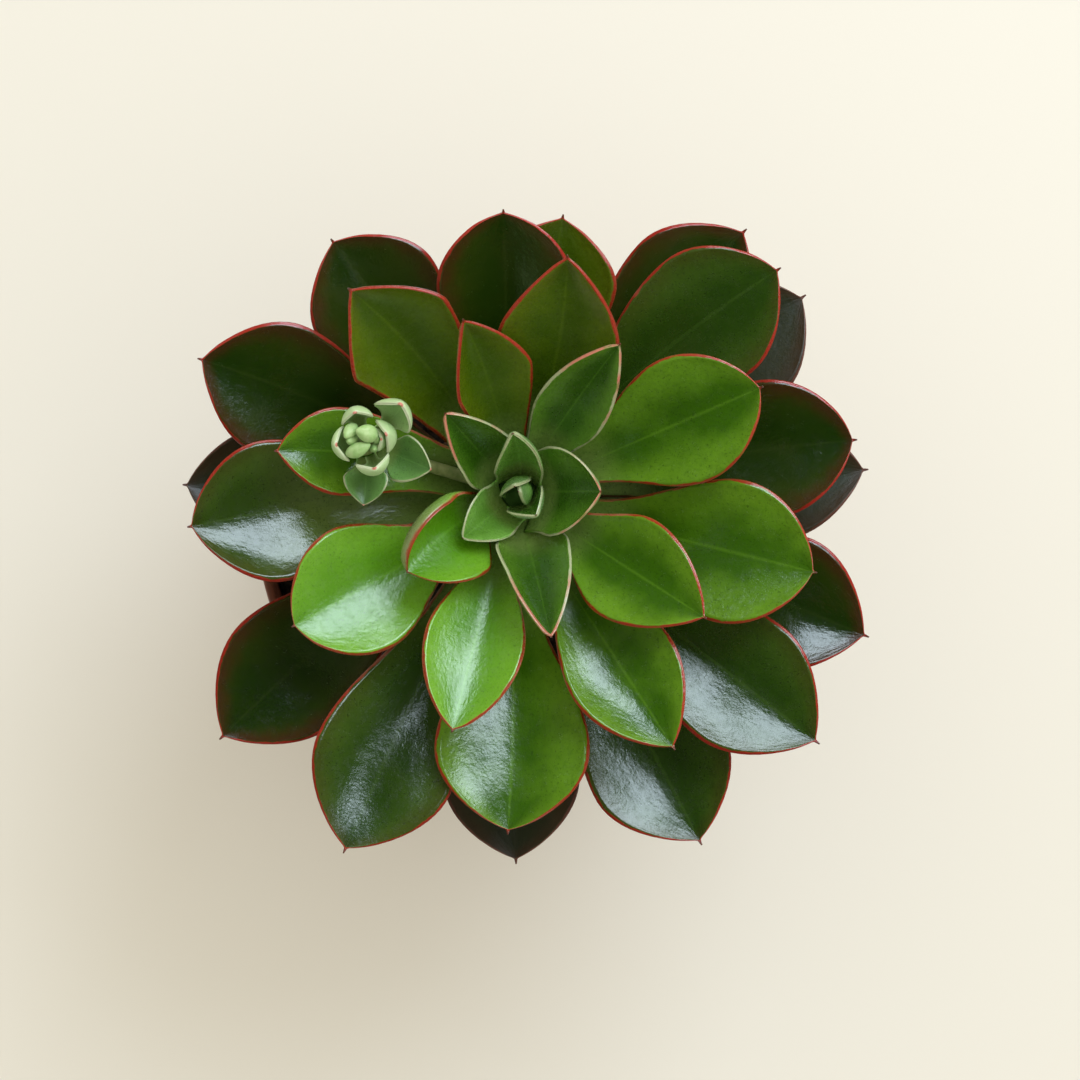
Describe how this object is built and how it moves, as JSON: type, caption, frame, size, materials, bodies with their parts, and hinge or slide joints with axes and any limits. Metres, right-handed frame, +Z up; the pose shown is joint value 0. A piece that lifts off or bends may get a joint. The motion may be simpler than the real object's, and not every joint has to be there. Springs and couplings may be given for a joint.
{
  "type": "potted succulent",
  "caption": "Rosette succulent with cupped fleshy leaves with red margins, spiralling from a short leaning stem, and a young flower shoot, in a round plastic nursery pot.",
  "frame": {"origin": "middle of the pot's underside, on the surface that it stands on", "axes": "+Z up along the pot's axis; +Y and +X level, with the flower shoot on the -X side and the stem leaning towards +X"},
  "size_m": [0.1806, 0.169, 0.1798],
  "materials": {
    "pot_plastic": "satin",
    "soil": "matte",
    "stem": "matte",
    "young_leaf": "satin",
    "leaf": "satin",
    "old_leaf": "satin",
    "bract": "matte",
    "bud": "matte"
  },
  "bodies": {
    "root": {"bract_1": "bract", "bract_2": "bract", "bract_3": "bract", "bract_4": "bract", "bract_5": "bract", "bract_6": "bract", "bract_7": "bract", "bract_8": "bract", "bud_1": "bud", "bud_2": "bud", "bud_3": "bud", "bud_4": "bud", "bud_5": "bud", "bud_6": "bud", "flower_stalk": "bract", "leaf_01": "young_leaf", "leaf_02": "young_leaf", "leaf_03": "young_leaf", "leaf_04": "young_leaf", "leaf_05": "young_leaf", "leaf_06": "young_leaf", "leaf_07": "leaf", "leaf_08": "leaf", "leaf_09": "leaf", "leaf_10": "leaf", "leaf_11": "leaf", "leaf_12": "leaf", "leaf_13": "leaf", "leaf_14": "leaf", "leaf_15": "leaf", "leaf_16": "leaf", "leaf_17": "leaf", "leaf_18": "leaf", "leaf_19": "leaf", "leaf_20": "leaf", "leaf_21": "leaf", "leaf_22": "leaf", "leaf_23": "leaf", "leaf_24": "leaf", "leaf_25": "leaf", "leaf_26": "leaf", "leaf_27": "leaf", "leaf_28": "leaf", "leaf_29": "old_leaf", "leaf_30": "old_leaf", "leaf_31": "old_leaf", "leaf_32": "old_leaf", "leaf_33": "old_leaf", "leaf_34": "old_leaf", "leaf_35": "old_leaf", "leaf_36": "old_leaf", "leaf_37": "old_leaf", "leaf_38": "old_leaf", "pot": "pot_plastic", "soil": "soil", "stem": "stem"}
  },
  "joints": []
}
